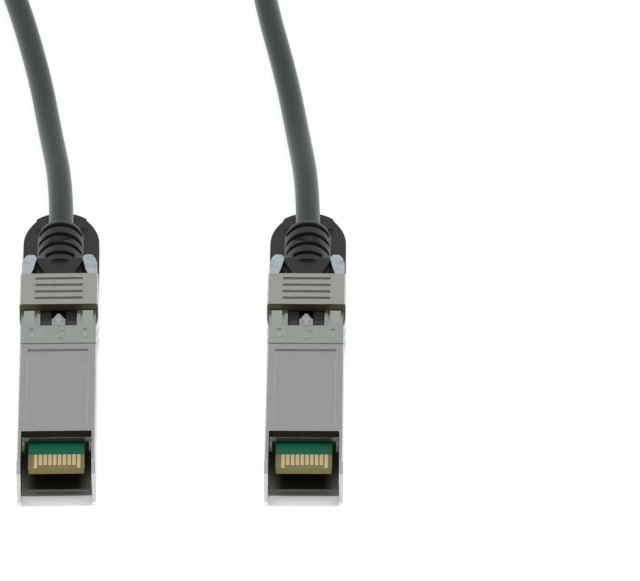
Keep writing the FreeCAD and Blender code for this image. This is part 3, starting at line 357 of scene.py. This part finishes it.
epoxy, tree, place = new_material("moulded_epoxy")
surface(tree, "ShaderNodeBsdfPrincipled", [
    ("Base Color", mottled(tree, place, 0.5 * MM, "#1C1C1C", "#232323")),
    ("Roughness", 0.5), ("IOR", 1.55)])
dress(epoxy, "memory_chip")

ceramic, tree, place = new_material("fired_ceramic")
surface(tree, "ShaderNodeBsdfPrincipled", [
    ("Base Color", mottled(tree, place, 0.4 * MM, "#7E6A50", "#8A7660")),
    ("Roughness", 0.4), ("IOR", 1.7)])
dress(ceramic, "coupling_capacitors")

foil, tree, place = new_material("foil_wrapped_cores")
surface(tree, "ShaderNodeBsdfPrincipled", [
    ("Base Color", mottled(tree, place, 1.0 * MM, "#B9BBBE", "#CDCFD2")),
    ("Metallic", 1.0), ("Roughness", 0.35)])
dress(foil, "wire_pairs")

# --- The release slider and the boot --------------------------------------------------------
# Both are injection moulded and black: the slider in glass-filled nylon, matt and stiff, and
# the boot in a softer elastomer that grips the cable. Spark-eroded moulds give a fine grain.

nylon, tree, place = new_material("moulded_black_nylon")
surface(tree, "ShaderNodeBsdfPrincipled", [
    ("Base Color", mottled(tree, place, 5 * MM, "#1A1C18", "#20221E")),
    ("Roughness", 0.42), ("IOR", 1.5),
    ("Normal", grain(tree, place, 0.25 * MM, 0.01 * MM, edge=0.15 * MM))])
dress(nylon, "release_slider")

elastomer, tree, place = new_material("moulded_black_elastomer")
surface(tree, "ShaderNodeBsdfPrincipled", [
    ("Base Color", mottled(tree, place, 4 * MM, "#252623", "#2C2D29")),
    ("Roughness", 0.42), ("IOR", 1.45), ("Specular IOR Level", 0.3),
    ("Normal", grain(tree, place, 0.3 * MM, 0.012 * MM, edge=0.15 * MM))])
dress(elastomer, "boot")

# --- The small steel parts ------------------------------------------------------------------
# The ferrule is rolled from strip and crimped, the spring is wound from bright wire, and the
# screws are zinc plated.

bright_steel, tree, place = new_material("bright_steel")
surface(tree, "ShaderNodeBsdfPrincipled", [
    ("Base Color", mottled(tree, place, 1.5 * MM, "#A9A9A6", "#B6B6B3")),
    ("Metallic", 1.0), ("Roughness", 0.3)])
dress(bright_steel, "crimp_ferrule", "return_spring", "shell_screws")

# Each return spring gets a mesh of its own; in use, its slider's bridge shortens it towards the
# spring's rear seat.
for end in "ab":
    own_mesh(nodes["return_spring_" + end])

# --- The floor and the light ----------------------------------------------------------------
# A white table that shows only the softest contact shadow, in a light tent: a soft box
# overhead, white cloth behind that is dimmer higher up, and a side towards the lens that is
# dark below and grey above.


def light_rays(tree):
    """Whether a ray comes from the lens, and whether a gloss or a glass has sent it on."""
    paths = add(tree, "ShaderNodeLightPath")
    sent_on = add(tree, "ShaderNodeMath", [(0, paths.outputs["Is Glossy Ray"]),
                                           (1, paths.outputs["Is Transmission Ray"])],
                  operation="MAXIMUM")
    return paths.outputs["Is Camera Ray"], sent_on.outputs[0]


table, tree, place = new_material("white_table")
direct, sent_on = light_rays(tree)
seen = add(tree, "ShaderNodeMath", [(0, direct), (1, sent_on)], operation="MAXIMUM")
matt = add(tree, "ShaderNodeBsdfDiffuse", [("Color", colour("#E7E7E7"))])
shaded = add(tree, "ShaderNodeBsdfDiffuse", [("Color", colour("#959595"))])
glow = add(tree, "ShaderNodeEmission", [("Color", colour("#FFFFFF")), ("Strength", 0.80)])
white = add(tree, "ShaderNodeAddShader", [(0, shaded.outputs[0]), (1, glow.outputs[0])])
surface(tree, "ShaderNodeMixShader", [(0, seen.outputs[0]), (1, matt.outputs[0]),
                                      (2, white.outputs[0])])

floor_mesh = bpy.data.meshes.new("floor")
floor_mesh.from_pydata([(-3, -0.11, 0), (3, -0.11, 0), (3, 3, 0), (-3, 3, 0)], [],
                       [(0, 1, 2, 3)])
floor_mesh.materials.append(table)
floor = bpy.data.objects.new("floor", floor_mesh)
bpy.context.scene.collection.objects.link(floor)

room = bpy.data.worlds.new("light_tent")
room.use_nodes = True
tree = room.node_tree
tree.nodes.clear()
direct, sent_on = light_rays(tree)
towards = add(tree, "ShaderNodeTexCoord").outputs["Generated"]
parts = add(tree, "ShaderNodeSeparateXYZ", [("Vector", towards)])
cloth = add(tree, "ShaderNodeMapRange", [
    ("Value", parts.outputs["Z"]), ("From Min", 0.25), ("From Max", 0.5), ("To Min", 1.0),
    ("To Max", 0.46)], interpolation_type="SMOOTHSTEP")
behind = add(tree, "ShaderNodeMapRange", [
    ("Value", parts.outputs["Y"]), ("From Min", -0.5), ("From Max", 0.1)],
             interpolation_type="SMOOTHSTEP")
higher = add(tree, "ShaderNodeMapRange", [
    ("Value", parts.outputs["Z"]), ("From Min", 0.15), ("From Max", 0.45)],
             interpolation_type="SMOOTHSTEP")
lens_side = add(tree, "ShaderNodeMix", [("Factor", higher.outputs[0]),
                                        (6, colour("#2C241E")), (7, colour("#8F9190"))],
                data_type="RGBA")
tent = add(tree, "ShaderNodeMix", [("Factor", behind.outputs[0]), (6, lens_side.outputs[2]),
                                   (7, cloth.outputs[0])], data_type="RGBA")
plain = add(tree, "ShaderNodeMix", [("Factor", sent_on), (6, colour("#E2E2E2")),
                                    (7, tent.outputs[2])], data_type="RGBA")
level = add(tree, "ShaderNodeMix", [("Factor", direct), (6, plain.outputs[2]),
                                    (7, colour("#FFFFFF"))], data_type="RGBA")
sky = add(tree, "ShaderNodeBackground", [("Color", level.outputs[2])])
add(tree, "ShaderNodeOutputWorld", [("Surface", sky.outputs[0])])
bpy.context.scene.world = room

lamp = bpy.data.lights.new("overhead_box", "AREA")
lamp.shape = "SQUARE"
lamp.size = 1.2
lamp.energy = 4.8
overhead_box = bpy.data.objects.new("overhead_box", lamp)
overhead_box.location = (0.0, 0.0, 1.3)
bpy.context.scene.collection.objects.link(overhead_box)

bpy.context.scene.view_settings.view_transform = "Standard"

bpy.context.view_layer.update()
